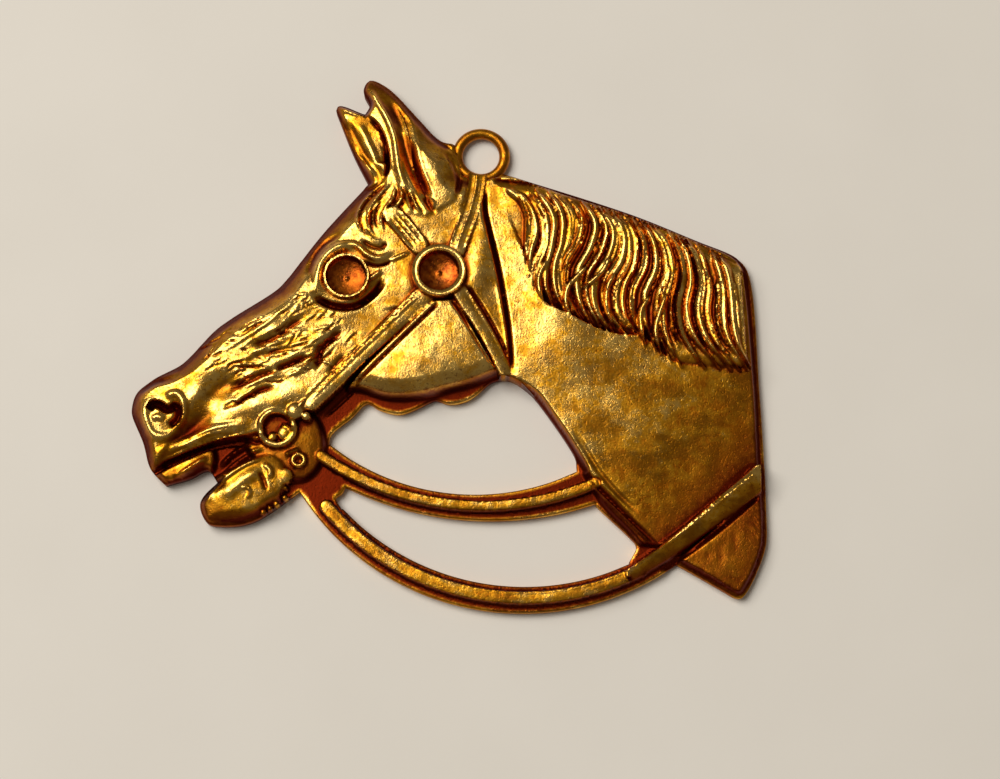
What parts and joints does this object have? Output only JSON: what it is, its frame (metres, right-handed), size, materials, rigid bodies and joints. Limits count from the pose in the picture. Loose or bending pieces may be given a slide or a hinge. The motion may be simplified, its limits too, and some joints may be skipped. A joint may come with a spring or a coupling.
{
  "type": "horse brass",
  "caption": "Cast brass harness pendant: a bridled horse's head and neck in low relief with open reins, empty stone seats at eye and rosette, and a small hanging ring.",
  "frame": {"origin": "centre of the outline's bounding box, on the flat back", "axes": "+X from the nose to the back of the neck, +Y towards the crest of the mane and the hanging ring, +Z out of the relief"},
  "size_m": [0.068, 0.059, 0.0046],
  "materials": {
    "brass": "aged, rubbed bright on the heights, dark brown in the hollows"
  },
  "bodies": {
    "root": {"horse_brass": "brass"}
  },
  "joints": []
}
